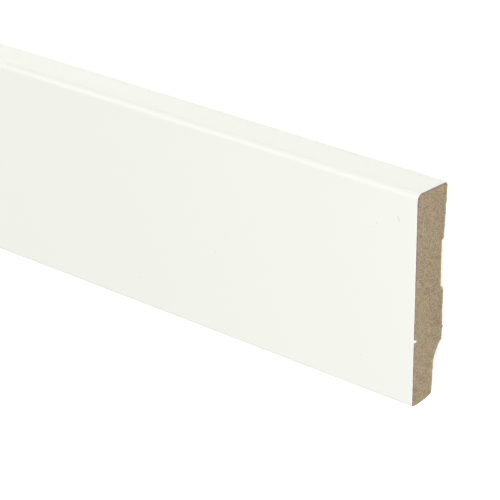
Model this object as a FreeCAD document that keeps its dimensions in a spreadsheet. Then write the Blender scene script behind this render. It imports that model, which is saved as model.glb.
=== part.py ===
"""A length of flat skirting board: a fibreboard core wrapped in white foil, lying on its back, face up.

Sizes are in millimetres. The board runs along X. Its height on the wall lies along Y, with the rounded top
edge at +Y and the foot at -Y. Its thickness stands along Z, from the back at z = 0 up to the face. Each section
is drawn with its height measured from the foot and its depth from the back, and is then run along the length.
"""
import FreeCAD, Part
import os
import Sketcher

# Driving sizes: name, value, meaning
SIZES = [
    ("board_length", 2400, "stock length that the moulding is sold in"),
    ("board_height", 80, "foot to top edge, as it stands on a wall"),
    ("board_thickness", 17, "back to face"),
    ("foil_thickness", 0.3, "white foil with its glue line"),
    ("arris_radius", 2.5, "round-over between the face and the top edge"),
    ("foot_rise", 0.8, "how much shorter the foot is at its back than at its face"),
    ("rebate_depth", 5.5, "depth of the cable rebate behind the foot"),
    ("rebate_height", 20.4, "foot to the sharp lip where the rebate ends"),
    ("cutter_radius", 12.5, "radius of the cutter that leaves the rebate's upper end hollow"),
    ("lower_pad_depth", 0.7, "how far the lower wall pad stands back from the plane of the back"),
    ("lower_pad_width", 19.1, "flat of the lower wall pad"),
    ("lower_ramp", 2.3, "slope from the lower pad into the relief"),
    ("relief_depth", 2.3, "depth of the wide relief that clears an uneven wall"),
    ("upper_ramp", 1.9, "slope from the relief onto the upper pad"),
    ("upper_pad_width", 20, "top edge down to the lower end of the upper wall pad"),
    ("upper_pad_depth", 1.35, "depth of the upper pad at its lower end, from where it tapers out"),
    ("chamfer_drop", 1.5, "chamfer behind the top edge, measured down the back"),
    ("chamfer_depth", 1.2, "chamfer behind the top edge, measured through the thickness"),
]

# Each corner of the sections, as its height above the foot and its depth from the back
CORNERS = {
    "foot_edge": ("0", "sizes.board_thickness"),
    "foot_under_foil": (
        "sizes.foot_rise * sizes.foil_thickness / (sizes.board_thickness - sizes.rebate_depth)",
        "sizes.board_thickness - sizes.foil_thickness",
    ),
    "foot_at_back": ("sizes.foot_rise", "sizes.rebate_depth"),
    "rebate_curve": (
        "sizes.rebate_height - sqrt(sizes.cutter_radius ^ 2"
        " - (sizes.cutter_radius - sizes.rebate_depth + sizes.lower_pad_depth) ^ 2)",
        "sizes.rebate_depth",
    ),
    "rebate_lip": ("sizes.rebate_height", "sizes.lower_pad_depth"),
    "lower_pad_end": ("sizes.rebate_height + sizes.lower_pad_width", "sizes.lower_pad_depth"),
    "relief_start": ("sizes.rebate_height + sizes.lower_pad_width + sizes.lower_ramp", "sizes.relief_depth"),
    "relief_end": ("sizes.board_height - sizes.upper_pad_width - sizes.upper_ramp", "sizes.relief_depth"),
    "upper_pad_start": ("sizes.board_height - sizes.upper_pad_width", "sizes.upper_pad_depth"),
    "upper_pad_end": ("sizes.board_height - sizes.chamfer_drop", "0"),
    "chamfer_under_foil": (
        "sizes.board_height - sizes.foil_thickness",
        "sizes.chamfer_depth * (1 - sizes.foil_thickness / sizes.chamfer_drop)",
    ),
    "chamfer_edge": ("sizes.board_height", "sizes.chamfer_depth"),
    "outer_arris": ("sizes.board_height", "sizes.board_thickness"),
    "arris_under_foil": (
        "sizes.board_height - sizes.foil_thickness",
        "sizes.board_thickness - sizes.foil_thickness",
    ),
}

# The core's outline, from the foot along the machined back to the top, and down the face
CORE_OUTLINE = [
    "foot_under_foil",
    "foot_at_back",
    "rebate_curve",
    "rebate_lip",
    "lower_pad_end",
    "relief_start",
    "relief_end",
    "upper_pad_start",
    "upper_pad_end",
    "chamfer_under_foil",
    "arris_under_foil",
]

# The foil's outline, up its glued side from the foot to the chamfer, and down its outside
FOIL_OUTLINE = [
    "foot_edge",
    "foot_under_foil",
    "arris_under_foil",
    "chamfer_under_foil",
    "chamfer_edge",
    "outer_arris",
]

# Nearness within which an edge is taken to lie at a corner
TOUCH = 1e-4

# The two ends of a side, and the origin of a sketch, as its constraints number them
START, END = 1, 2
ORIGIN = (-1, 1)


def make_sheet(doc):
    """Put the driving sizes in a spreadsheet, one row each: value, name and meaning."""
    sheet = doc.addObject("Spreadsheet::Sheet", "sizes")
    for row, (name, value, meaning) in enumerate(SIZES, 1):
        sheet.set(f"A{row}", str(value))
        sheet.setAlias(f"A{row}", name)
        sheet.set(f"B{row}", name)
        sheet.set(f"C{row}", meaning)
    doc.recompute()


def make_body(doc, name):
    """Make a body whose foot lies half the board's height to the -Y side of the origin."""
    body = doc.addObject("PartDesign::Body", name)
    body.Label = name
    body.setExpression("Placement.Base.y", "-sizes.board_height / 2")
    return body


def start_section(body):
    """Start a sketch across the board: its x is the height above the foot, its y the depth from the back."""
    planes = {feature.Role: feature for feature in body.Origin.OriginFeatures}
    sketch = body.newObject("Sketcher::SketchObject", body.Name + "_section")
    sketch.AttachmentSupport = [(planes["YZ_Plane"], "")]
    sketch.MapMode = "FlatFace"
    return sketch


def corner_place(holder, name):
    """Where a corner lies now, as (height, depth), by the sheet that the holder's formulas read."""
    height, depth = CORNERS[name]
    return holder.evalExpression(height), holder.evalExpression(depth)


def tie(sketch, kind, *where, name, formula):
    """Add a named constraint whose value follows a formula on the sheet."""
    number = sketch.addConstraint(Sketcher.Constraint(kind, *where, sketch.evalExpression(formula)))
    sketch.renameConstraint(number, name)
    sketch.setExpression("Constraints." + name, formula)


def hollow_arc(sketch, low, high):
    """Arc of the cutter's radius, level at its low end and rising to its high end."""
    radius = sketch.evalExpression("sizes.cutter_radius")
    centre = FreeCAD.Vector(low.x, low.y - radius, 0)
    circle = Part.Circle(centre, FreeCAD.Vector(0, 0, 1), radius)
    return Part.ArcOfCircle(circle, circle.parameter(high), circle.parameter(low))


def draw_section(body, outline):
    """Draw a closed section through the named corners and tie each of them to the sheet.

    Its sides are straight, but for the one from rebate_curve to rebate_lip, which is the cutter's arc. An arc
    runs anticlockwise, so that side ends where the outline reaches it and starts where the outline leaves it.
    """
    sketch = start_section(body)
    places = [FreeCAD.Vector(*corner_place(sketch, name), 0) for name in outline]
    sides = []
    for name, here, there in zip(outline, places, places[1:] + places[:1]):
        if name == "rebate_curve":
            side = sketch.addGeometry(hollow_arc(sketch, here, there))
            tie(sketch, "Radius", side, name="cutter", formula="sizes.cutter_radius")
            sides.append((side, END, START))
        else:
            side = sketch.addGeometry(Part.LineSegment(here, there))
            sides.append((side, START, END))
    for name, (side, near, _), (last_side, _, last_far) in zip(outline, sides, sides[-1:] + sides[:-1]):
        height, depth = CORNERS[name]
        sketch.addConstraint(Sketcher.Constraint("Coincident", last_side, last_far, side, near))
        tie(sketch, "DistanceX", *ORIGIN, side, near, name=name + "_height", formula=height)
        tie(sketch, "DistanceY", *ORIGIN, side, near, name=name + "_depth", formula=depth)
    return sketch


def run_along(body, sketch):
    """Run the section along the board, half of its length to each side of the middle."""
    run = body.newObject("PartDesign::Pad", body.Name + "_run")
    run.Profile = sketch
    run.SideType = "Symmetric"
    run.setExpression("Length", "sizes.board_length")
    body.Document.recompute()
    return run


def round_arris(body, base, corner, radius_formula):
    """Round the long edge of the base that lies at a corner of the section."""
    height, depth = corner_place(base, corner)
    edges = [
        f"Edge{number}"
        for number, edge in enumerate(base.Shape.Edges, 1)
        if all(abs(end.Y - height) < TOUCH and abs(end.Z - depth) < TOUCH for end in edge.Vertexes)
    ]
    fillet = body.newObject("PartDesign::Fillet", f"{body.Name}_{corner}")
    fillet.Base = (base, edges)
    fillet.setExpression("Radius", radius_formula)
    body.Document.recompute()
    return fillet


def make_core(doc):
    """The fibreboard: machined back, cable rebate, bevelled foot and the arris that the foil goes round."""
    body = make_body(doc, "mdf_core")
    run = run_along(body, draw_section(body, CORE_OUTLINE))
    round_arris(body, run, "arris_under_foil", "sizes.arris_radius - sizes.foil_thickness")
    return body


def make_foil(doc):
    """The white skin on the face, round the arris and over the top edge, trimmed at the foot and the chamfer."""
    body = make_body(doc, "wrap_foil")
    run = run_along(body, draw_section(body, FOIL_OUTLINE))
    outside = round_arris(body, run, "outer_arris", "sizes.arris_radius")
    round_arris(body, outside, "arris_under_foil", "sizes.arris_radius - sizes.foil_thickness")
    return body


def check_document(doc, bodies):
    """Stop where an object failed to compute, or where a piece is empty or isn't a sound solid."""
    for item in doc.Objects:
        if "Invalid" in item.State or "Error" in item.State:
            raise RuntimeError(f"{item.Label} failed: {item.State}")
    for body in bodies:
        if body.Shape.isNull() or not body.Shape.isValid() or len(body.Shape.Solids) != 1:
            raise RuntimeError(f"{body.Label} isn't one sound solid")


def main():
    doc = FreeCAD.newDocument("skirting_board")
    make_sheet(doc)
    bodies = [make_core(doc), make_foil(doc)]
    doc.recompute()
    check_document(doc, bodies)
    os.makedirs("parts", exist_ok=True)
    for body in bodies:
        body.Shape.exportStep(f"parts/{body.Label}.step")
        box = body.Shape.BoundBox
        print(body.Label, "volume", round(body.Shape.Volume, 1), "box", box)


main()
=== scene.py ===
"""The looks of a skirting board length: a machined and sawn fibreboard core in a white foil, lying face up.

Lengths are in metres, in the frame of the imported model: X runs along the board, with the shown sawn end at
+X, Y up its height on the wall, and Z out of its face. In a section, a height is measured from the foot and
a depth from the plane of the back.
"""

import math

import bpy
import numpy as np
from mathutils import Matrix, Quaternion, Vector


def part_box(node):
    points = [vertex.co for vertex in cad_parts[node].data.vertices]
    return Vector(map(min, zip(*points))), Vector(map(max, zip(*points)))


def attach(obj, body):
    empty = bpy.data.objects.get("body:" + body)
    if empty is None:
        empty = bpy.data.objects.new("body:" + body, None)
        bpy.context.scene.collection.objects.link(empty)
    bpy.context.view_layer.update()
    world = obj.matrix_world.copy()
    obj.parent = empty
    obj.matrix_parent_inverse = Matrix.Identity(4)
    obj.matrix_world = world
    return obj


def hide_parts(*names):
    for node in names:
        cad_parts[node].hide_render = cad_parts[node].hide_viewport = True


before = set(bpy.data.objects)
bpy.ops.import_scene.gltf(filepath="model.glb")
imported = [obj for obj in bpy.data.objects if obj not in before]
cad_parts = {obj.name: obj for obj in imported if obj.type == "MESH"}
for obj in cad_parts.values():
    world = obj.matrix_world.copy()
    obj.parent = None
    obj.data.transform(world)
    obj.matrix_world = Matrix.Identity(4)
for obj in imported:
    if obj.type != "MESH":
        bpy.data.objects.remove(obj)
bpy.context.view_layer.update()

MM = 0.001
RIGHT_ANGLE = math.pi / 2

# The board's extent, from the frame
_, CORE_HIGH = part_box("mdf_core")
FOIL_LOW, FOIL_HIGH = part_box("wrap_foil")
LEFT_END, SHOWN_END = FOIL_LOW.x, FOIL_HIGH.x
FOOT = FOIL_LOW.y
HEIGHT = FOIL_HIGH.y - FOIL_LOW.y
THICKNESS = FOIL_HIGH.z
FOIL = FOIL_HIGH.z - CORE_HIGH.z
CORE_TOP = HEIGHT - FOIL
CORE_FACE = THICKNESS - FOIL

# The section's own sizes, as the part's source has them
ARRIS_RADIUS = 2.5 * MM
FOOT_RISE = 0.8 * MM
REBATE_DEPTH = 5.5 * MM
REBATE_HEIGHT = 20.4 * MM
CUTTER_RADIUS = 12.5 * MM
LOWER_PAD_DEPTH = 0.7 * MM
LOWER_PAD_WIDTH = 19.1 * MM
LOWER_RAMP = 2.3 * MM
RELIEF_DEPTH = 2.3 * MM
UPPER_RAMP = 1.9 * MM
UPPER_PAD_WIDTH = 20 * MM
UPPER_PAD_DEPTH = 1.35 * MM
CHAMFER_DROP = 1.5 * MM
CHAMFER_DEPTH = 1.2 * MM

# Distance through the thickness from the cutter's centre to the rebate's lip
CUTTER_RISE = CUTTER_RADIUS - REBATE_DEPTH + LOWER_PAD_DEPTH
# Heights where the machined back turns a corner, and where the arris starts
HOLLOW_START = REBATE_HEIGHT - math.sqrt(CUTTER_RADIUS**2 - CUTTER_RISE**2)
LOWER_PAD_END = REBATE_HEIGHT + LOWER_PAD_WIDTH
RELIEF_START = LOWER_PAD_END + LOWER_RAMP
UPPER_PAD_START = HEIGHT - UPPER_PAD_WIDTH
RELIEF_END = UPPER_PAD_START - UPPER_RAMP
UPPER_PAD_END = HEIGHT - CHAMFER_DROP
ARRIS_START = HEIGHT - ARRIS_RADIUS
# Where the foot and the chamfer reach the foil's glued side: the foot's height and the chamfer's depth there
FOOT_CORNER = FOOT_RISE * FOIL / (THICKNESS - REBATE_DEPTH)
CHAMFER_UNDER_FOIL = CHAMFER_DEPTH * (1 - FOIL / CHAMFER_DROP)

# Corners of the machined back, from the foot to the top: (height, depth)
BACK_CORNERS = [
    (FOOT_CORNER, CORE_FACE),
    (FOOT_RISE, REBATE_DEPTH),
    (HOLLOW_START, REBATE_DEPTH),
    (REBATE_HEIGHT, LOWER_PAD_DEPTH),
    (LOWER_PAD_END, LOWER_PAD_DEPTH),
    (RELIEF_START, RELIEF_DEPTH),
    (RELIEF_END, RELIEF_DEPTH),
    (UPPER_PAD_START, UPPER_PAD_DEPTH),
    (UPPER_PAD_END, 0),
    (CORE_TOP, CHAMFER_UNDER_FOIL),
]

# Radius of the core's own arris, under the foil, and the points round an arris
CORE_ARRIS_RADIUS = ARRIS_RADIUS - FOIL
ARRIS_POINTS = 15

# Side of a bake map, and where its widest islands start and end, in pixels
MAP_SIZE = 1024
MAP_LEFT = 8
MAP_RIGHT = 1016


def stretches(*spans):
    """Places along a line: each span (start, end, step) is cut into equal steps of about that size."""
    runs = [
        np.linspace(start, end, max(round(abs(end - start) / step), 1), endpoint=False)
        for start, end, step in spans
    ]
    return np.concatenate(runs + [[spans[-1][1]]])


def rough(along, across, grain, seed):
    """Smooth relief from -1 to 1.

    Random heights stand on a lattice one grain apart, and are blended by a smooth step each way.
    """
    size = 256
    heights = np.random.default_rng(seed).uniform(-1, 1, (size, size))
    along, across = np.broadcast_arrays(along / grain, across / grain)
    column, row = np.floor(along).astype(int), np.floor(across).astype(int)
    part, share = along - column, across - row
    part, share = part**2 * (3 - 2 * part), share**2 * (3 - 2 * share)

    def blended(level):
        """The heights of one lattice row, blended along it."""
        here, beyond = heights[column % size, level % size], heights[(column + 1) % size, level % size]
        return here * (1 - part) + beyond * part

    return blended(row) * (1 - share) + blended(row + 1) * share


def bell(distance, width):
    """A smooth bump from 1 in its middle to about 0.01 at one width away.

    It is the exponential of -4.5 times the square of the distance in widths.
    """
    return np.exp(-4.5 * (distance / width) ** 2)


def back_depth(height):
    """Depth of the machined back at a height: straight between corners, and hollow over the cutter's arc.

    There the depth is the rebate's, less the cutter's radius, plus the leg of the right triangle whose long
    side is that radius and whose other leg is the height above the hollow's start.
    """
    straight = np.interp(height, *zip(*BACK_CORNERS))
    climb = np.clip(height - HOLLOW_START, 0, CUTTER_RADIUS)
    hollow = REBATE_DEPTH - CUTTER_RADIUS + np.sqrt(CUTTER_RADIUS**2 - climb**2)
    return np.where((height > HOLLOW_START) & (height < REBATE_HEIGHT), hollow, straight)


def face_depth(height):
    """Depth of the core's face at a height: level, then round the arris by the leg of a right triangle."""
    climb = np.clip(height - ARRIS_START, 0, CORE_ARRIS_RADIUS)
    return CORE_FACE - CORE_ARRIS_RADIUS + np.sqrt(CORE_ARRIS_RADIUS**2 - climb**2)


class Skin:
    """A closed mesh put together from patches: grids of points, each with its place in the bake map."""

    def __init__(self, name):
        self.name = name
        self.points, self.faces, self.places, self.finishes = [], [], [], []
        self.marks, self.gaps, self.rims = [], [], []
        self.count = 0

    def add_points(self, along, height, depth, mark=0.0, gap=1.0, rim=1.0):
        """Add a grid of points and return their numbers. The finish reads its painted shading, gap and rim
        there.
        """
        along, height, depth, mark, gap, rim = np.broadcast_arrays(along, height, depth, mark, gap, rim)
        self.points.append(np.stack([along, FOOT + height, depth], -1).reshape(-1, 3))
        self.marks.append(mark.ravel())
        self.gaps.append(gap.ravel())
        self.rims.append(rim.ravel())
        numbers = self.count + np.arange(along.size).reshape(along.shape)
        self.count += along.size
        return numbers

    def add_patch(self, numbers, right, up, island, finish=0):
        """Add the faces of a grid of point numbers, with corners that go anticlockwise as seen from outside.

        right and up, from 0 to 1 over the grid, place it in its island (left, bottom, right, top) of the
        bake map. finish is the place of its finish in the piece's list.
        """
        left, bottom, far, top = (edge / MAP_SIZE for edge in island)
        right, up = np.broadcast_arrays(right, up)
        place = np.stack([left + right * (far - left), bottom + up * (top - bottom)], -1)

        def corners(grid):
            """The four corners of every cell of a grid, in order round the cell."""
            return np.stack([grid[:-1, :-1], grid[1:, :-1], grid[1:, 1:], grid[:-1, 1:]], 2)

        cells = corners(numbers)
        self.faces.append(cells.reshape(-1, 4))
        self.places.append(corners(place).reshape(-1, 2))
        self.finishes.append(np.full(len(self.faces[-1]), finish))

    def finished(self, finishes, sharp):
        """The mesh object, with its finishes, its bake map and the readings of its points.

        It is crisp where two faces meet at more than the sharp angle, and smooth elsewhere.
        """
        mesh = bpy.data.meshes.new(self.name)
        mesh.from_pydata(np.concatenate(self.points), [], np.concatenate(self.faces).tolist())
        for finish in finishes:
            mesh.materials.append(finish)
        mesh.polygons.foreach_set("material_index", np.concatenate(self.finishes))
        bake_map = mesh.uv_layers.new(name="OFBake")
        bake_map.uv.foreach_set("vector", np.concatenate(self.places).ravel())
        # The painted shading is painted shade and light that follow a sawn end's relief and pits.
        for name, values in (("mark", self.marks), ("gap", self.gaps), ("rim", self.rims)):
            mesh.attributes.new(name, "FLOAT", "POINT").data.foreach_set("value", np.concatenate(values))
        mesh.shade_smooth()
        mesh.set_sharp_from_angle(angle=sharp)
        mesh.update()
        piece = bpy.data.objects.new(self.name, mesh)
        bpy.context.scene.collection.objects.link(piece)
        return piece


def run_length(*coordinates):
    """Share of a path's length that lies behind each of its points, from 0 to 1."""
    steps = np.sqrt(sum(np.diff(coordinate) ** 2 for coordinate in coordinates))
    run = np.concatenate([[0], np.cumsum(steps)])
    return run / run[-1]


# The core

# Height between the rulings of the grid over a sawn end, and between those on the bevelled foot
SECTION_STEP = 0.24 * MM
FOOT_STEP = SECTION_STEP / 6
# Cells along each ruling
DEPTH_CELLS = 66
# The worn corner at the foot's front: where the rulings start, how far up the face they end, and their bulge
CORNER_START = 0.06 * MM
CORNER_REACH = 0.35 * MM
CORNER_BULGE = 0.12 * MM
# Heights over which that reach and that bulge fall off, and the bulge's share both downwards and outwards
REACH_FADE = 0.5 * MM
BULGE_FADE = 0.25 * MM
BULGE_SHARE = 0.7
# How far the bevelled foot bellies out, and the power that leans its belly towards the front
FOOT_BELLY = 0.57 * MM
BELLY_LEAN = 0.6
# How far the foot drops below the foil's, over what height that fades, and the power that spares the face
FOOT_DROP = 0.24 * MM
DROP_FADE = 2 * MM
DROP_POWER = 12
# The worn corner at the foot's back: how much is gone, over what distance, and the place it wears towards
FOOT_WEAR = 0.45 * MM
FOOT_WEAR_WIDTH = 3 * MM
WEAR_TOWARDS = (4.5 * MM, 9.5 * MM)
# Distance from a sawn end over which its burrs fall off
BURR_FADE = 0.4 * MM
# Height at which the pale rim is widest, and how far from there it is wider than elsewhere
WIDE_RIM_HEIGHT = 9 * MM
WIDE_RIM_REACH = 14 * MM

# Teeth of a torn back edge, in two sizes: (how far out, grain)
TEETH = [
    (0.05 * MM, 0.5 * MM),
    (0.035 * MM, 0.26 * MM),
]
# Where those teeth are larger, in the rebate: middle height, reach from there, and by what share at most
LARGE_TEETH_HEIGHT = 17 * MM
LARGE_TEETH_REACH = 7 * MM
LARGE_TEETH_GAIN = 1.2

# Fibres on a sawn end, in two sizes: (share, grain)
FIBRES = [
    (0.5, 0.9 * MM),
    (0.8, 0.42 * MM),
]
# The way that the saw marks run, as (height, depth), their grain, and how much longer than wide they are
SAW_WAY = (0.67, 0.74)
SAW_GRAIN = 0.6 * MM
SAW_STRETCH = 12
# Grain of the patches in which they show
PATCH_GRAIN = 9 * MM
# How far the fibres and the saw marks stand out, and how much painted shade and light they and the pits give
# the end
FIBRE_RELIEF = 0.028 * MM
SAW_RELIEF = 0.03 * MM
FIBRE_PAINTED_SHADING = 0.3
SAW_PAINTED_SHADING = 0.8
PIT_PAINTED_SHADE = 3.2

# Seeds of the random relief along the back edges and over the sawn ends
SHOWN_EDGE_SEED = 11
LEFT_EDGE_SEED = 23
LEFT_RELIEF_SEED = 31
SHOWN_RELIEF_SEED = 47

# Pits that the photo shows on the sawn end: (height, depth, width, how deep)
PITS = [
    (71.2 * MM, 7.7 * MM, 0.60 * MM, 0.16 * MM),
    (76.9 * MM, 13.1 * MM, 0.50 * MM, 0.12 * MM),
    (78.0 * MM, 10.7 * MM, 0.55 * MM, 0.10 * MM),
    (75.3 * MM, 15.6 * MM, 0.45 * MM, 0.10 * MM),
    (52.0 * MM, 8.8 * MM, 0.80 * MM, 0.12 * MM),
    (53.4 * MM, 7.8 * MM, 0.50 * MM, 0.10 * MM),
    (27.9 * MM, 4.8 * MM, 0.50 * MM, 0.10 * MM),
    (15.0 * MM, 10.8 * MM, 0.55 * MM, 0.14 * MM),
    (7.9 * MM, 8.8 * MM, 0.50 * MM, 0.12 * MM),
    (8.2 * MM, 11.8 * MM, 0.50 * MM, 0.12 * MM),
]

# Burrs and breaks that the photo shows along the sawn end's back edge: (height, width, how far out)
BURRS = [
    (3.4 * MM, 1.10 * MM, -0.20 * MM),
    (9.2 * MM, 0.50 * MM, -0.14 * MM),
    (10.9 * MM, 2.00 * MM, 0.30 * MM),
    (15.8 * MM, 0.50 * MM, 0.14 * MM),
    (17.8 * MM, 0.50 * MM, 0.12 * MM),
    (18.8 * MM, 0.60 * MM, -0.28 * MM),
    (19.6 * MM, 0.60 * MM, -0.16 * MM),
    (21.0 * MM, 0.70 * MM, -0.32 * MM),
    (22.4 * MM, 0.50 * MM, -0.20 * MM),
    (25.1 * MM, 0.90 * MM, 0.88 * MM),
    (27.8 * MM, 0.50 * MM, -0.22 * MM),
    (31.6 * MM, 3.20 * MM, -0.24 * MM),
    (41.4 * MM, 1.20 * MM, -0.18 * MM),
    (45.2 * MM, 1.60 * MM, 0.12 * MM),
    (50.8 * MM, 0.45 * MM, -0.16 * MM),
    (59.3 * MM, 1.30 * MM, 0.42 * MM),
    (63.5 * MM, 1.80 * MM, 0.14 * MM),
    (68.2 * MM, 1.80 * MM, 0.16 * MM),
    (70.9 * MM, 1.60 * MM, -0.15 * MM),
    (72.9 * MM, 0.90 * MM, 0.22 * MM),
    (74.6 * MM, 0.80 * MM, -0.15 * MM),
    (76.4 * MM, 0.70 * MM, -0.16 * MM),
]

# Tuft of fibres that stands out past the foil at the arris: (height, width, how far out)
TUFT = (77.9 * MM, 0.55 * MM, 0.35 * MM)

# Distances from either end at which the outline is repeated, and the number of islands of the bare sides
CORE_RINGS = np.array([0.12, 0.26, 0.45, 0.75, 1.2, 2.2, 5, 14]) * MM
BARE_ISLANDS = 4
# Islands of the sawn ends and of the glued sides in the bake map, in pixels: (left, bottom, right, top)
SHOWN_ISLAND = (8, 8, 1016, 206)
LEFT_ISLAND = (8, 214, 512, 313)
GLUED_ISLAND = (520, 214, 1016, 313)
# Those of the bare sides lie one above the other: the lowest one's bottom, their pitch and their height
BARE_BOTTOM = 321
BARE_PITCH = 174
BARE_TALL = 166
# Angle past which two faces of the core meet at a crisp edge
CORE_SHARP = math.radians(40)


def gap_to_foil(height, depth):
    """Distance on a sawn end from the foil's glued side.

    That side is taken as a slab's with one rounded corner: past the corner's centre in both directions the
    distance is the radius less the distance from that centre, and elsewhere it is the radius less the larger
    of the two ways past the centre.
    """
    over = height - ARRIS_START
    out = depth - (CORE_FACE - CORE_ARRIS_RADIUS)
    corner = np.hypot(np.maximum(over, 0), np.maximum(out, 0))
    return CORE_ARRIS_RADIUS - corner - np.minimum(np.maximum(over, out), 0)


def gap_to_rim(height, depth):
    """Distance on a sawn end from the bare edge, counted as less near the foot, where the pale rim is wider.

    It is the smaller of the way in from the back and the way up from the foot, divided by one plus a bell of
    the height. The foot's line is read from the back ends of the lowest rulings.
    """
    foot_rows = height[:, 0] <= FOOT_RISE
    foot_height = np.interp(depth, depth[foot_rows, 0][::-1], height[foot_rows, 0][::-1])
    nearest = np.minimum(depth - depth[:, :1], height - foot_height)
    return nearest / (1 + bell(height - WIDE_RIM_HEIGHT, WIDE_RIM_REACH))


def section_rows():
    """Heights of the rulings across the core.

    Each corner of the back below the arris has one, with equal steps between them. Up the arris they go by
    equal angles: each is the radius times the sine of its angle above the arris's start.
    """
    below_arris = [height for height, _ in BACK_CORNERS if FOOT_RISE <= height < ARRIS_START]
    corners = [CORNER_START, *below_arris, ARRIS_START]
    steps = [FOOT_STEP] + [SECTION_STEP] * len(below_arris)
    straight = stretches(*zip(corners, corners[1:], steps))
    turn = np.linspace(0, RIGHT_ANGLE, ARRIS_POINTS)[1:]
    return np.concatenate([straight, ARRIS_START + CORE_ARRIS_RADIUS * np.sin(turn)])


def torn_edge(height, seed):
    """How far the fibres of a sawn back edge stand out: random teeth of two sizes, larger in the rebate."""
    sizes = enumerate(TEETH)
    teeth = sum(reach * rough(height, 0, grain, seed + number) for number, (reach, grain) in sizes)
    return teeth * (1 + LARGE_TEETH_GAIN * bell(height - LARGE_TEETH_HEIGHT, LARGE_TEETH_REACH))


def bumps_along(height, bumps):
    """How far a list of bumps (height, width, how far out) stands out at each height."""
    return sum(reach * bell(height - middle, width) for middle, width, reach in bumps)


def back_line(height, burr):
    """The back's outline, moved outwards along its normals by a belly and a burr, and worn at the foot.

    The belly is half a sine wave over the bevelled foot, fuller towards its front. A normal is the outline's
    tangent turned by a right angle. The wear is a bell round the foot's back corner, towards a place inside.
    """
    depth = back_depth(height)
    over_foot = np.clip(height / FOOT_RISE, 0, 1)
    reach = burr + FOOT_BELLY * np.sin(math.pi * over_foot**BELLY_LEAN)
    run_height, run_depth = np.gradient(height), np.gradient(depth)
    length = np.hypot(run_height, run_depth)
    wear = FOOT_WEAR * bell(np.hypot(height - FOOT_RISE, depth - REBATE_DEPTH), FOOT_WEAR_WIDTH)
    inward_height, inward_depth = WEAR_TOWARDS[0] - height, WEAR_TOWARDS[1] - depth
    wear = wear / np.hypot(inward_height, inward_depth)
    worn_height = height + reach * run_depth / length + wear * inward_height
    return worn_height, depth - reach * run_height / length + wear * inward_depth


def ruled_section(rows, burr, tuft):
    """Height and depth over the whole section: points at equal shares of rulings from the back to the face.

    Near the foot the rulings end higher up the face and bulge outwards, so that the corner there is round.
    They also drop, but for their ends at the face. These amounts fall off exponentially with height. Along a
    ruling the bulge is a parabola, and the drop is one less a high power of the share.
    """
    share = np.linspace(0, 1, DEPTH_CELLS + 1)
    up = rows - CORNER_START
    back_height, back = back_line(rows, burr)
    face_height = rows + CORNER_REACH * np.exp(-up / REACH_FADE)
    face = face_depth(face_height) + tuft
    bulge = CORNER_BULGE * np.exp(-up / BULGE_FADE)[:, None] * 4 * share * (1 - share)
    above_foot = np.maximum(rows - FOOT_RISE, 0)
    drop = FOOT_DROP * np.exp(-above_foot / DROP_FADE)[:, None] * (1 - share**DROP_POWER)
    height = back_height[:, None] + (face_height - back_height)[:, None] * share - BULGE_SHARE * bulge - drop
    depth = back[:, None] + (face - back)[:, None] * share + BULGE_SHARE * bulge
    return height, depth


def sawn_relief(height, depth, seed):
    """Relief of a sawn end, outwards, and its painted shading: painted shade on what is deep, painted light
    on what stands out.

    It is random fibre relief of two grains, plus slanting saw marks: relief that changes quickly across the
    saw's way and slowly along it, times the share of random patches.
    """
    sizes = enumerate(FIBRES)
    fibres = sum(share * rough(height, depth, grain, seed + number) for number, (share, grain) in sizes)
    way_up, way_in = SAW_WAY
    across_saw = way_in * height - way_up * depth
    along_saw = way_up * height + way_in * depth
    patches = 0.5 + 0.5 * rough(height, depth, PATCH_GRAIN, seed + 2)
    saw = rough(across_saw, along_saw / SAW_STRETCH, SAW_GRAIN, seed + 3) * patches
    return FIBRE_RELIEF * fibres + SAW_RELIEF * saw, FIBRE_PAINTED_SHADING * fibres + SAW_PAINTED_SHADING * saw


def pit_relief(height, depth):
    """Relief and painted shade of the pits that the photo shows: each is a smooth bell downwards."""
    relief, mark = np.zeros_like(height), np.zeros_like(height)
    for pit_height, pit_depth, width, deep in PITS:
        pit = bell(np.hypot(height - pit_height, depth - pit_depth), width)
        relief = relief - deep * pit
        mark = mark - PIT_PAINTED_SHADE * pit
    return relief, mark


def outline(grid):
    """The line round a grid of the section: up the back, over the top, down the face and across the foot."""
    return np.concatenate([grid[:-1, 0], grid[-1, :-1], grid[:0:-1, -1], grid[0, :0:-1]])


def add_sawn_end(skin, end, outwards, section, relief, mark, island):
    """Add the grid over a sawn end, moved outwards by its relief, and return its point numbers.

    outwards is 1 for the end that looks along +X and -1 for the other one.
    """
    height, depth = section
    gap, rim = gap_to_foil(height, depth), gap_to_rim(height, depth)
    numbers = skin.add_points(end + outwards * relief, height, depth, mark, gap, rim)
    right, up = np.clip(height / HEIGHT, 0, 1), np.clip(depth / THICKNESS, 0, 1)
    skin.add_patch(numbers[::outwards], right[::outwards], up[::outwards], island)
    return numbers


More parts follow.
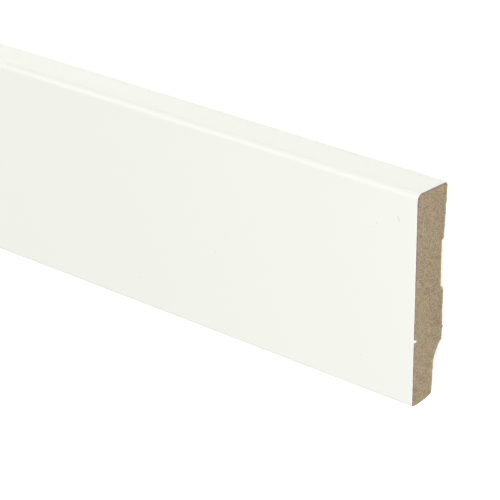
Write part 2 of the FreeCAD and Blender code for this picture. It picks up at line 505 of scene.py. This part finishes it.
def make_core(sawn, machined):
    """The fibreboard: a ruled grid over each sawn end, and its outline carried along the board between them.

    Towards an end the outline is moved by that end's burrs, which fall off exponentially with distance. In
    the bake map the bare sides, which are the foot and the back, are cut into islands along the board, and
    the glued ones share an island.
    """
    skin = Skin("fibreboard_core")
    rows = section_rows()
    strips = np.linspace(LEFT_END, SHOWN_END, BARE_ISLANDS + 1)
    places = np.sort(np.concatenate([LEFT_END + CORE_RINGS, strips, SHOWN_END - CORE_RINGS]))
    shown_burr = torn_edge(rows, SHOWN_EDGE_SEED) + bumps_along(rows, BURRS)
    left_burr = torn_edge(rows, LEFT_EDGE_SEED)
    tuft = bumps_along(rows, [TUFT])

    section = ruled_section(rows, left_burr, 0)
    relief, mark = sawn_relief(*section, LEFT_RELIEF_SEED)
    left = add_sawn_end(skin, LEFT_END, -1, section, relief, mark, LEFT_ISLAND)

    section = ruled_section(rows, shown_burr, tuft)
    relief, mark = sawn_relief(*section, SHOWN_RELIEF_SEED)
    pits, pit_marks = pit_relief(*section)
    shown = add_sawn_end(skin, SHOWN_END, 1, section, relief + pits, mark + pit_marks, SHOWN_ISLAND)

    rings = [outline(left)]
    for place in places[1:-1]:
        left_pull = np.exp((LEFT_END - place) / BURR_FADE)
        shown_pull = np.exp((place - SHOWN_END) / BURR_FADE)
        burr = left_burr * left_pull + shown_burr * shown_pull
        height, depth = ruled_section(rows, burr, tuft * shown_pull**2)
        rings.append(skin.add_points(place, outline(height), outline(depth)))
    rings.append(outline(shown))
    around = np.stack([np.append(ring, ring[0]) for ring in rings], 1)

    plain_section = ruled_section(rows, 0 * rows, 0)
    height, depth = (np.append(line, line[0]) for line in map(outline, plain_section))
    foot_start = len(height) - 1 - DEPTH_CELLS
    bare = np.r_[foot_start : len(height) - 1, 0 : len(rows)]
    run = run_length(height[bare], depth[bare])[:, None]
    for strip, (start, end) in enumerate(zip(strips, strips[1:])):
        inside = np.flatnonzero((places >= start) & (places <= end))
        share_along = (places[inside] - start) / (end - start)
        bottom = BARE_BOTTOM + BARE_PITCH * strip
        island = (MAP_LEFT, bottom, MAP_RIGHT, bottom + BARE_TALL)
        skin.add_patch(around[np.ix_(bare, inside)], share_along, run, island, finish=1)
    glued = np.arange(len(rows) - 1, foot_start + 1)
    run = run_length(height[glued], depth[glued])[:, None]
    share_along = (places - LEFT_END) / (SHOWN_END - LEFT_END)
    skin.add_patch(around[glued], share_along, run, GLUED_ISLAND, finish=1)
    return skin.finished([sawn, machined], CORE_SHARP)


# The foil

# Radius at which the foil folds over the sawn end, and its thickness there
FOLD_RADIUS = 0.22 * MM
FOLDED_FOIL = 0.14 * MM
# How far its cut edge rolls over that end from the top edge and from the face
TOP_LIP = 0.33 * MM
FACE_LIP = 0.25 * MM
# Points along the fold, and the power that crowds them towards its start
FOLD_POINTS = 11
FOLD_SPACING = 1.6
# The torn fleck that the photo shows folded over the sawn end: middle height, half width, reach and slant
FLECK_HEIGHT = 24.95 * MM
FLECK_WIDTH = 0.52 * MM
FLECK_REACH = 1.6 * MM
FLECK_SLANT = 0.25
# Where the foil's cut edge is chipped: middle height, width, how far at most, grain and seed
CHIPS_HEIGHT = 75.2 * MM
CHIPS_WIDTH = 2.4 * MM
CHIPS_REACH = 0.30 * MM
CHIPS_GRAIN = 0.36 * MM
CHIPS_SEED = 8
# How ragged the cut edge is all along: how far, grain and seed
RAGGED_REACH = 0.05 * MM
RAGGED_GRAIN = 0.7 * MM
RAGGED_SEED = 5
# Distance from the sawn end over which what is cut off there falls off
CUT_FADE = 0.8 * MM
# Radius at which the foil turns under the foot, the angle at which it ends there, and its points on the way
FOOT_ROUND = 0.35 * MM
FOOT_END = math.radians(170)
FOOT_POINTS = 8
# The share of its thickness that the foil keeps at that trimmed edge
TRIMMED_SHARE = 0.35
# Radius at which the foil turns onto the chamfer, its points on the way, and how far it goes on there
CHAMFER_ROUND = 0.5 * MM
CHAMFER_POINTS = 5
CHAMFER_FLAP = 0.35 * MM
# How much of it is worn off there at the sawn end, and over what width
CHAMFER_WEAR = 0.2 * MM
CHAMFER_WEAR_WIDTH = 0.9 * MM

# Step across the top edge
TOP_STEP = 0.4 * MM
# Spans down the face, with small steps by the chips and the fleck: (upper end, lower end, step)
FACE_SPANS = [
    (ARRIS_START, 70 * MM, 0.18 * MM),
    (70 * MM, 27 * MM, 0.8 * MM),
    (27 * MM, 23 * MM, 0.08 * MM),
    (23 * MM, FOOT_ROUND, 0.8 * MM),
]
# Distances from either end at which the section is repeated
FOIL_RINGS = np.array([0.25, 0.5, 0.9, 1.5, 2.5, 6, 20]) * MM

# Length that the photo shows, which has an island of its own, and the islands that the rest is cut into
SHOWN_LENGTH = 225 * MM
FAR_ISLANDS = 4
# They lie one above the other, the shown length's last: the lowest bottom, their pitch and their heights
OUTSIDE_BOTTOM = 8
OUTSIDE_PITCH = 156
FAR_TALL = 148
SHOWN_TALL = 330
# The other islands of the foil's bake map, in pixels: (left, bottom, right, top)
INSIDE_ISLAND = (8, 970, 1016, 984)
CHAMFER_EDGE_ISLAND = (8, 988, 1016, 991)
FOOT_EDGE_ISLAND = (8, 994, 1016, 997)
FOLD_ISLAND = (8, 1002, 812, 1016)
LEFT_EDGE_ISLAND = (820, 1002, 824, 1016)
CUT_EDGE_ISLAND = (832, 1002, 836, 1016)
# Share of the inside's island that its straight part takes
STRAIGHT_SHARE = 0.95
# Angle past which two faces of the foil meet at a crisp edge
FOIL_SHARP = math.radians(50)


def foil_section():
    """Height and depth of the foil's outside across the board, and the angle of its outward normal.

    The path starts on the chamfer, one thickness outside it, turns onto the top edge, and runs along that to
    the arris. Then come a quarter circle round the arris, the face, and most of a quarter circle under the
    foot. The angle is 0 on the top edge and a right angle on the face.
    """
    chamfer = math.atan2(CHAMFER_DROP, CHAMFER_DEPTH)
    turn_depth = CHAMFER_DEPTH - (FOIL - CHAMFER_ROUND * (1 - math.cos(chamfer))) / math.sin(chamfer)
    turn = np.linspace(-chamfer, 0, CHAMFER_POINTS)
    turn_height = HEIGHT - CHAMFER_ROUND * (1 - np.cos(turn))
    flap_height = turn_height[0] - CHAMFER_FLAP * math.sin(chamfer)
    flap_depth = turn_depth - CHAMFER_ROUND * math.sin(chamfer) - CHAMFER_FLAP * math.cos(chamfer)
    top_edge = stretches((turn_depth, THICKNESS - ARRIS_RADIUS, TOP_STEP))[1:-1]
    arris = np.linspace(0, RIGHT_ANGLE, ARRIS_POINTS)
    down_face = stretches(*FACE_SPANS)[1:-1]
    under_foot = np.linspace(RIGHT_ANGLE, FOOT_END, FOOT_POINTS)
    angle = [[-chamfer], turn, 0 * top_edge, arris, 0 * down_face + RIGHT_ANGLE, under_foot]
    round_height = ARRIS_START + ARRIS_RADIUS * np.cos(arris)
    round_depth = THICKNESS - ARRIS_RADIUS + ARRIS_RADIUS * np.sin(arris)
    foot_height = FOOT_ROUND + FOOT_ROUND * np.cos(under_foot)
    foot_depth = THICKNESS - FOOT_ROUND + FOOT_ROUND * np.sin(under_foot)
    height = [[flap_height], turn_height, 0 * top_edge + HEIGHT, round_height, down_face, foot_height]
    turn_depths = turn_depth + CHAMFER_ROUND * np.sin(turn)
    depth = [[flap_depth], turn_depths, top_edge, round_depth, 0 * down_face + THICKNESS, foot_depth]
    return np.concatenate(height), np.concatenate(depth), np.concatenate(angle)


def make_foil(finish):
    """The white foil: a thin closed shell whose cut edge rolls over the sawn end.

    Along the board it is straight. At its cut edge a point goes round an arc of the fold's radius and then
    straight down the end, for as long as its row's reach. The torn fleck's reach is half an ellipse. The
    edge is cut back by random raggedness, chips and wear, which fall off exponentially along the board. The
    glued side lies one thickness inside, and the foil thins towards its fold and its trimmed edge.
    """
    skin = Skin("white_foil_wrap")
    height, depth, angle = (line[:, None] for line in foil_section())
    on_face = depth > CORE_FACE
    fleck = np.sqrt(np.clip(1 - ((height - FLECK_HEIGHT) / FLECK_WIDTH) ** 2, 0, 1))
    lip = TOP_LIP + (FACE_LIP - TOP_LIP) * np.clip(angle / RIGHT_ANGLE, 0, 1)
    reach = lip + FLECK_REACH * fleck * on_face
    chips = np.clip(rough(height, depth, CHIPS_GRAIN, CHIPS_SEED), 0, 1)
    chips = bell(height - CHIPS_HEIGHT, CHIPS_WIDTH) * chips
    worn = CHAMFER_WEAR * bell(depth - depth[0], CHAMFER_WEAR_WIDTH)
    ragged = RAGGED_REACH * (rough(height, depth, RAGGED_GRAIN, RAGGED_SEED) - 1)
    cut = ragged - CHIPS_REACH * chips - worn

    strips = np.append(np.linspace(LEFT_END, SHOWN_END - SHOWN_LENGTH, FAR_ISLANDS + 1), SHOWN_END)
    places = np.sort(np.concatenate([LEFT_END + FOIL_RINGS, strips[:-1], SHOWN_END - FOIL_RINGS]))
    pull = np.exp((places - SHOWN_END) / CUT_FADE)
    fold = np.linspace(0, 1, FOLD_POINTS) ** FOLD_SPACING
    slide = fold * reach
    lean = np.minimum(slide / FOLD_RADIUS, RIGHT_ANGLE)
    past = np.maximum(slide - FOLD_RADIUS * RIGHT_ANGLE, 0)
    straight = 0 * height + 0 * places

    along = np.concatenate([places + cut * pull, SHOWN_END + cut + FOLD_RADIUS * np.sin(lean)], 1)
    down = np.concatenate([straight, FOLD_RADIUS * (1 - np.cos(lean)) + past], 1)
    slant = np.concatenate([straight, FLECK_SLANT * past * on_face], 1)
    lean = np.concatenate([straight, lean], 1)
    trimmed = np.clip((angle - RIGHT_ANGLE) / (FOOT_END - RIGHT_ANGLE), 0, 1)
    thick = FOIL * (1 - (1 - TRIMMED_SHARE) * trimmed)
    thick = thick + (np.minimum(FOLDED_FOIL, thick) - thick) * lean / RIGHT_ANGLE

    outer_height = height - down * np.cos(angle) - slant
    outer_depth = depth - down * np.sin(angle)
    outside = skin.add_points(along, outer_height, outer_depth)
    inner_height = outer_height - thick * np.cos(lean) * np.cos(angle)
    inner_depth = outer_depth - thick * np.cos(lean) * np.sin(angle)
    inside = skin.add_points(along - thick * np.sin(lean), inner_height, inner_depth)

    run = run_length(height[:, 0], depth[:, 0])[:, None]
    columns = np.append(places, SHOWN_END)
    for strip, (start, end) in enumerate(zip(strips, strips[1:])):
        inner = np.flatnonzero((columns >= start) & (columns <= end))
        share_along = (columns[inner] - start) / (end - start)
        bottom = OUTSIDE_BOTTOM + OUTSIDE_PITCH * strip
        top = bottom + (FAR_TALL if strip < FAR_ISLANDS else SHOWN_TALL)
        skin.add_patch(outside[:, inner], share_along, run, (MAP_LEFT, bottom, MAP_RIGHT, top))
    skin.add_patch(outside[:, len(places) :], fold, run, FOLD_ISLAND)
    share_straight = (places - LEFT_END) / (SHOWN_END - LEFT_END) * STRAIGHT_SHARE
    share_in = np.append(share_straight, STRAIGHT_SHARE + (1 - STRAIGHT_SHARE) * fold)
    skin.add_patch(inside[::-1], share_in, run[::-1], INSIDE_ISLAND)
    ends = np.array([[0], [1]])
    skin.add_patch(np.stack([inside[0], outside[0]]), share_in, ends, CHAMFER_EDGE_ISLAND)
    skin.add_patch(np.stack([outside[-1], inside[-1]]), share_in, ends, FOOT_EDGE_ISLAND)
    skin.add_patch(np.stack([inside[:, 0], outside[:, 0]], 1), ends.T, run, LEFT_EDGE_ISLAND)
    skin.add_patch(np.stack([outside[:, -1], inside[:, -1]], 1), ends.T, run, CUT_EDGE_ISLAND)
    return skin.finished([finish], FOIL_SHARP)


class Value:
    """One socket of a material's nodes. Arithmetic on values adds Math nodes."""

    def __init__(self, finish, socket):
        self.finish = finish
        self.socket = socket

    def maths(self, operation, *numbers):
        """The result of a Math node on some numbers and values."""
        return self.finish.add("ShaderNodeMath", {"operation": operation}, dict(enumerate(numbers)))

    def __add__(self, other):
        return self.maths("ADD", self, other)

    def __sub__(self, other):
        return self.maths("SUBTRACT", self, other)

    def __rsub__(self, other):
        return self.maths("SUBTRACT", other, self)

    def __mul__(self, other):
        return self.maths("MULTIPLY", self, other)

    __radd__ = __add__
    __rmul__ = __mul__


class Finish:
    """A material in the making, with one method that adds any node."""

    def __init__(self, name, constants):
        self.material = bpy.data.materials.new(name)
        self.material.use_nodes = True
        self.nodes = self.material.node_tree.nodes
        self.links = self.material.node_tree.links
        self.surface = self.nodes["Principled BSDF"]
        for socket, value in constants.items():
            self.surface.inputs[socket].default_value = value

    def put(self, socket, value):
        """Link a value to a socket, or set the socket to a plain number, vector or colour."""
        if isinstance(value, Value):
            self.links.new(value.socket, socket)
        else:
            socket.default_value = value

    def add(self, kind, settings=None, inputs=None, output=0):
        """Add a node: its settings first, then its sockets, by number or by identifier."""
        node = self.nodes.new(kind)
        for setting, value in (settings or {}).items():
            setattr(node, setting, value)
        sockets = {socket.identifier: socket for socket in node.inputs}
        for key, value in (inputs or {}).items():
            self.put(node.inputs[key] if isinstance(key, int) else sockets[key], value)
        return Value(self, node.outputs[output])

    def places(self):
        """Object coordinates, as one vector and as x, y and z."""
        where = self.add("ShaderNodeTexCoord", output=3)
        split = [self.add("ShaderNodeSeparateXYZ", inputs={0: where}, output=axis) for axis in range(3)]
        return where, *split

    def attribute(self, name):
        """A number that the piece's skin carries."""
        return self.add("ShaderNodeAttribute", {"attribute_name": name}, output=2)

    def noise(self, where, grain, detail=2, roughness=0.5, stretch=(1, 1, 1)):
        """Smooth noise from 0 to 1, with lumps of about one grain, longer along an axis by its stretch."""
        scale = [1 / (grain * axis) for axis in stretch]
        scaled = self.add("ShaderNodeVectorMath", {"operation": "MULTIPLY"}, {0: where, 1: scale})
        inputs = {"Vector": scaled, "Scale": 1, "Detail": detail, "Roughness": roughness}
        return self.add("ShaderNodeTexNoise", inputs=inputs)

    def between(self, value, low, high):
        """A smooth step from 0 where a value is at low to 1 where it is at high."""
        settings = {"interpolation_type": "SMOOTHSTEP"}
        return self.add("ShaderNodeMapRange", settings, {"Value": value, "From Min": low, "From Max": high})

    def mix(self, share, colour, other):
        """A colour part of the way to another, by a share from 0 to 1."""
        inputs = {"Factor_Float": share, "A_Color": colour, "B_Color": other}
        return self.add("ShaderNodeMix", {"data_type": "RGBA"}, inputs, output=2)

    def scale(self, colour, share):
        """A colour made lighter or darker by a share."""
        return self.add("ShaderNodeVectorMath", {"operation": "SCALE"}, {"Vector": colour, "Scale": share})

    def bump(self, height, distance):
        """A normal tilted by a height, of which 1 stands for that distance."""
        self.put(
            self.surface.inputs["Normal"],
            self.add("ShaderNodeBump", inputs={"Strength": 1, "Distance": distance, "Height": height}),
        )


def rgba(red, green, blue):
    """A colour with full cover."""
    return (red, green, blue, 1)


# The redder and the greener fibres of a sawn end, the dull purplish band along its foil, and its bare rim
RED_BROWN = rgba(0.400, 0.259, 0.198)
GREEN_BROWN = rgba(0.305, 0.301, 0.164)
FOIL_BAND_BROWN = rgba(0.296, 0.222, 0.257)
RIM_BROWN = rgba(0.426, 0.348, 0.165)
# The machined fibreboard's own brown, and its darkest and palest
BROWN = rgba(0.352, 0.280, 0.181)
DARK_BROWN = rgba(0.174, 0.117, 0.074)
PALE_BROWN = rgba(0.461, 0.383, 0.261)

# Grains of the sawn end's light and dark, of its hues, and of its broad patches
SPECKLE_GRAIN = 0.35 * MM
HUE_GRAIN = 0.34 * MM
PATCHES_GRAIN = 3.5 * MM
# How far the pale rim reaches in from the bare edge, and where the band along the foil starts to show and
# shows fully
RIM_REACH = 1.3 * MM
FOIL_BAND_REACH = 0.95 * MM
FOIL_BAND_FULL = 0.35 * MM


def sawn_fibreboard():
    """The sawn end: a speckle of fibres in two hues, painted shade and light over its relief and pits, a
    dull band by the foil and a pale rim.
    """
    finish = Finish("sawn_fibreboard", {"Specular IOR Level": 0.25})
    where, *_ = finish.places()
    mark, gap, rim = finish.attribute("mark"), finish.attribute("gap"), finish.attribute("rim")
    fine = finish.between(finish.noise(where, SPECKLE_GRAIN, detail=1), 0.3, 0.7)
    hue = finish.noise(where, HUE_GRAIN, detail=1)
    broad = finish.noise(where, PATCHES_GRAIN, detail=3)
    colour = finish.mix(finish.between(hue, 0.2, 0.8), RED_BROWN, GREEN_BROWN)
    colour = finish.mix(finish.between(rim, RIM_REACH, 0), colour, RIM_BROWN)
    colour = finish.mix(finish.between(gap, FOIL_BAND_REACH, FOIL_BAND_FULL), colour, FOIL_BAND_BROWN)
    # Painted shade darkens deep fibres and pits, and painted light pales fibres that stand out.
    tone = 1 + (fine - 0.5) * 0.66 + (broad - 0.5) * 0.12 + mark * 0.12
    finish.put(finish.surface.inputs["Base Color"], finish.scale(colour, tone))
    finish.put(finish.surface.inputs["Roughness"], 0.88 - (fine - 0.5) * 0.2)
    finish.bump(fine, 0.05 * MM)
    return finish.material


# How much longer than wide the machined back's cutter lines are, and the distance between its knife ripples
LINE_STRETCH = 160
RIPPLE_PITCH = 1.6 * MM


def machined_fibreboard():
    """The planed back: denser and smoother than the end, with long cutter lines and close knife ripples."""
    finish = Finish("machined_fibreboard", {"Specular IOR Level": 0.3})
    where, x, _, _ = finish.places()
    fine = finish.noise(where, 0.4 * MM, detail=3, roughness=0.6)
    lines = finish.noise(where, 0.5 * MM, detail=2, stretch=(LINE_STRETCH, 1, 1))
    broad = finish.noise(where, 9 * MM, detail=3, stretch=(3, 1, 1))
    ripple = x.maths("SINE", x * (2 * math.pi / RIPPLE_PITCH))
    tone = (fine - 0.5) * 0.6 + (lines - 0.5) * 0.5 + (broad - 0.5) * 0.45
    colour = finish.mix(finish.between(tone, 0, 0.45), BROWN, PALE_BROWN)
    colour = finish.mix(finish.between(tone, 0, -0.45), colour, DARK_BROWN)
    finish.put(finish.surface.inputs["Base Color"], colour)
    finish.put(finish.surface.inputs["Roughness"], 0.72 + (lines - 0.5) * 0.25)
    finish.bump(fine * 0.5 + lines * 0.5 + ripple * 0.06, 0.05 * MM)
    return finish.material


# The foil's white, the slightly warmer white that it drifts to, and its specks
WHITE = rgba(0.905, 0.925, 0.855)
WARM_WHITE = rgba(0.90, 0.91, 0.83)
SPECK_GREY = rgba(0.74, 0.755, 0.65)

# Specks that the photo shows on the face: (distance from the sawn end, height, half height, half width)
SPECKS = [
    (7.8 * MM, 69.4 * MM, 0.55 * MM, 0.26 * MM),
    (7.4 * MM, 68.5 * MM, 0.55 * MM, 0.26 * MM),
    (17.2 * MM, 64.7 * MM, 0.26 * MM, 0.26 * MM),
    (18.5 * MM, 62.9 * MM, 0.20 * MM, 0.20 * MM),
    (23.3 * MM, 12.6 * MM, 0.25 * MM, 0.25 * MM),
    (89.3 * MM, 28.3 * MM, 0.26 * MM, 0.26 * MM),
    (92.2 * MM, 32.2 * MM, 0.24 * MM, 0.24 * MM),
    (131.7 * MM, 10.2 * MM, 0.25 * MM, 0.30 * MM),
]


def white_foil():
    """The printed foil: an even white with a low satin sheen, a faint texture and the photo's specks."""
    finish = Finish("white_foil_finish", {"Specular IOR Level": 0.5})
    where, x, y, _ = finish.places()
    fine = finish.noise(where, 0.9 * MM, detail=2)
    broad = finish.noise(where, 40 * MM, detail=2, stretch=(3, 1, 1))
    colour = finish.mix(broad, WHITE, WARM_WHITE)
    for along, height, half_height, half_width in SPECKS:
        off_x = (x - (SHOWN_END - along)) * (1 / half_width)
        off_y = (y - (FOOT + height)) * (1 / half_height)
        colour = finish.mix(finish.between(off_x * off_x + off_y * off_y, 1.5, 0.5), colour, SPECK_GREY)
    finish.put(finish.surface.inputs["Base Color"], colour)
    finish.put(finish.surface.inputs["Roughness"], 0.36 + fine * 0.04)
    finish.bump(fine, 0.004 * MM)
    return finish.material


# The camera, the light and the floor

# Where the camera looks and stands, as found from the board's straight edges and its sawn end in the photo
CAMERA_AIM = Vector((SHOWN_END - 75.242 * MM, -2.086 * MM, THICKNESS))
CAMERA_DISTANCE = 875.04 * MM
# Its angles, in degrees
CAMERA_AZIMUTH = 33.374
CAMERA_ELEVATION = 43.239
CAMERA_ROLL = 114.434
# Its lens and its sensor's width, in millimetres, and the nearest and farthest that it sees, in metres
CAMERA_LENS = 174.01
SENSOR_WIDTH = 36
CLIP_START = 0.01
CLIP_END = 100


def from_angles(azimuth, elevation):
    """The direction at an azimuth from +X towards +Y and an elevation above the floor, in degrees."""
    turn, lift = math.radians(azimuth), math.radians(elevation)
    return Vector((math.cos(lift) * math.cos(turn), math.cos(lift) * math.sin(turn), math.sin(lift)))


def add_camera():
    """The photo's view: from the sawn end, over the top edge, turned so that the height stands upright."""
    data = bpy.data.cameras.new("camera")
    data.lens, data.sensor_width = CAMERA_LENS, SENSOR_WIDTH
    data.clip_start, data.clip_end = CLIP_START, CLIP_END
    camera = bpy.data.objects.new("camera", data)
    back = from_angles(CAMERA_AZIMUTH, CAMERA_ELEVATION)
    camera.location = CAMERA_AIM + CAMERA_DISTANCE * back
    turned = back.to_track_quat("Z", "Y") @ Quaternion((0, 0, 1), -math.radians(CAMERA_ROLL))
    camera.rotation_mode = "QUATERNION"
    camera.rotation_quaternion = turned
    bpy.context.scene.collection.objects.link(camera)
    bpy.context.scene.camera = camera


def add_lamp(name, aim, direction, distance, side, strength):
    """A square soft lamp that shines at its aim from a direction.

    It alone lights a white surface there, square to it, to about its strength: its power is that strength
    times the square of pi times the distance.
    """
    data = bpy.data.lights.new(name, "AREA")
    data.shape, data.size = "SQUARE", side
    data.energy = strength * (math.pi * distance) ** 2
    lamp = bpy.data.objects.new(name, data)
    lamp.location = aim + distance * direction
    lamp.rotation_mode = "QUATERNION"
    lamp.rotation_quaternion = direction.to_track_quat("Z", "Y")
    bpy.context.scene.collection.objects.link(lamp)


def plainly_seen(nodes, links):
    """1 for a ray from the camera, in a mirror or through glass, and 0 for light on its way to a surface."""
    path = nodes.new("ShaderNodeLightPath")
    seen = path.outputs["Is Camera Ray"]
    for ray in ("Is Glossy Ray", "Is Transmission Ray"):
        either = nodes.new("ShaderNodeMath")
        either.operation = "MAXIMUM"
        links.new(seen, either.inputs[0])
        links.new(path.outputs[ray], either.inputs[1])
        seen = either.outputs[0]
    return seen


def world_light(strength):
    """An even white world: full white where it is seen or reflected, and softer as light."""
    world = bpy.data.worlds.new("studio")
    world.use_nodes = True
    nodes, links = world.node_tree.nodes, world.node_tree.links
    background = nodes["Background"]
    background.inputs["Color"].default_value = rgba(1, 1, 1)
    blend = nodes.new("ShaderNodeMapRange")
    blend.inputs["To Min"].default_value = strength
    blend.inputs["To Max"].default_value = 1
    links.new(plainly_seen(nodes, links), blend.inputs["Value"])
    links.new(blend.outputs[0], background.inputs["Strength"])
    bpy.context.scene.world = world


# The floor's half side, in metres, and its grey
FLOOR_HALF_SIDE = 6
FLOOR_GREY = rgba(0.92, 0.92, 0.92)


def add_floor(glow_strength):
    """A wide pale floor, which also glows where it is seen, so that it is white past the board's shadow."""
    mesh = bpy.data.meshes.new("floor")
    low, high = -FLOOR_HALF_SIDE, FLOOR_HALF_SIDE
    corners = [(low, low, 0), (high, low, 0), (high, high, 0), (low, high, 0)]
    mesh.from_pydata(corners, [], [(0, 1, 2, 3)])
    floor = bpy.data.objects.new("floor", mesh)
    bpy.context.scene.collection.objects.link(floor)
    material = bpy.data.materials.new("pale_floor")
    material.use_nodes = True
    nodes, links = material.node_tree.nodes, material.node_tree.links
    nodes.clear()
    diffuse = nodes.new("ShaderNodeBsdfDiffuse")
    diffuse.inputs["Color"].default_value = FLOOR_GREY
    glow = nodes.new("ShaderNodeEmission")
    strength = nodes.new("ShaderNodeMath")
    strength.operation = "MULTIPLY"
    strength.inputs[1].default_value = glow_strength
    links.new(plainly_seen(nodes, links), strength.inputs[0])
    links.new(strength.outputs[0], glow.inputs["Strength"])
    both = nodes.new("ShaderNodeAddShader")
    output = nodes.new("ShaderNodeOutputMaterial")
    links.new(diffuse.outputs[0], both.inputs[0])
    links.new(glow.outputs[0], both.inputs[1])
    links.new(both.outputs[0], output.inputs["Surface"])
    mesh.materials.append(material)


# What the lamps shine at: the shown end, the board near it, the board further along, and the other end
END_AIM = Vector((SHOWN_END, 0, THICKNESS))
NEAR_AIM = END_AIM - Vector((0.1, 0, 0))
FAR_AIM = END_AIM - Vector((0.4, 0, 0))
LEFT_AIM = Vector((LEFT_END, 0, THICKNESS))

# The lamps: (name, aim, azimuth and elevation in degrees, distance, side, strength)
LAMPS = [
    ("over", NEAR_AIM, 0, 88, 6, 3.6, 0.46),
    ("key", NEAR_AIM, 143, 40, 2.5, 0.9, 0.153),
    ("edge", FAR_AIM, 90, 5, 1.0, 0.6, 0.215),
    ("near_end", NEAR_AIM, 8, 45, 0.42, 0.3, 0.075),
    ("low_end", END_AIM, 0, 10, 0.6, 0.18, 0.33),
    ("left_end", LEFT_AIM, 180, 30, 1.2, 0.7, 0.4),
]
# Strengths of the world's light and of the floor's glow
WORLD_STRENGTH = 0.36
FLOOR_GLOW = 0.7

bpy.context.scene.view_settings.view_transform = "Standard"
add_camera()
world_light(WORLD_STRENGTH)
for name, aim, azimuth, elevation, distance, side, strength in LAMPS:
    add_lamp(name, aim, from_angles(azimuth, elevation), distance, side, strength)
add_floor(FLOOR_GLOW)

core = make_core(sawn_fibreboard(), machined_fibreboard())
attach(core, "root")
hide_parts("mdf_core")

foil = make_foil(white_foil())
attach(foil, "root")
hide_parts("wrap_foil")
